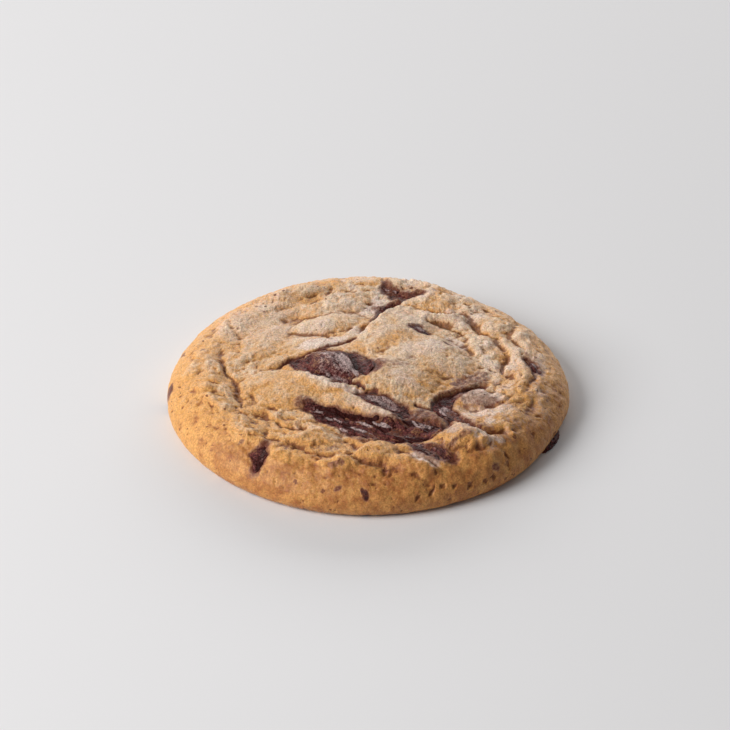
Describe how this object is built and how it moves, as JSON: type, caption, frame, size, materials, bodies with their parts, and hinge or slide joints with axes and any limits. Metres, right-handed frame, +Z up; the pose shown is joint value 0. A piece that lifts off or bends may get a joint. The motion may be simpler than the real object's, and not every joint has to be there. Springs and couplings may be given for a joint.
{
  "type": "chocolate chip cookie",
  "caption": "Large soft round chocolate chip cookie with a rounded rim, a puffed and cracked top and chunks of melted chocolate.",
  "frame": {"origin": "middle of the flat base that the cookie rests on", "axes": "+Z up through the top; +X to the right and +Y away, as seen from the side that the picture shows"},
  "size_m": [0.1048, 0.1044, 0.0153],
  "materials": {
    "dough": "soft baked dough, matt with a faint sheen, golden brown",
    "chocolate": "dark chocolate, melted and set, satin to glossy"
  },
  "bodies": {
    "root": {"cookie_dough": "dough", "chocolate_middle": "chocolate", "chocolate_trough": "chocolate", "chocolate_band": "chocolate", "chocolate_right": "chocolate", "chocolate_front": "chocolate", "chocolate_back": "chocolate", "chocolate_valley": "chocolate", "chocolate_foot": "chocolate", "chip_front_left": "chocolate", "chip_right_rim": "chocolate", "chip_upper_right": "chocolate"}
  },
  "joints": []
}
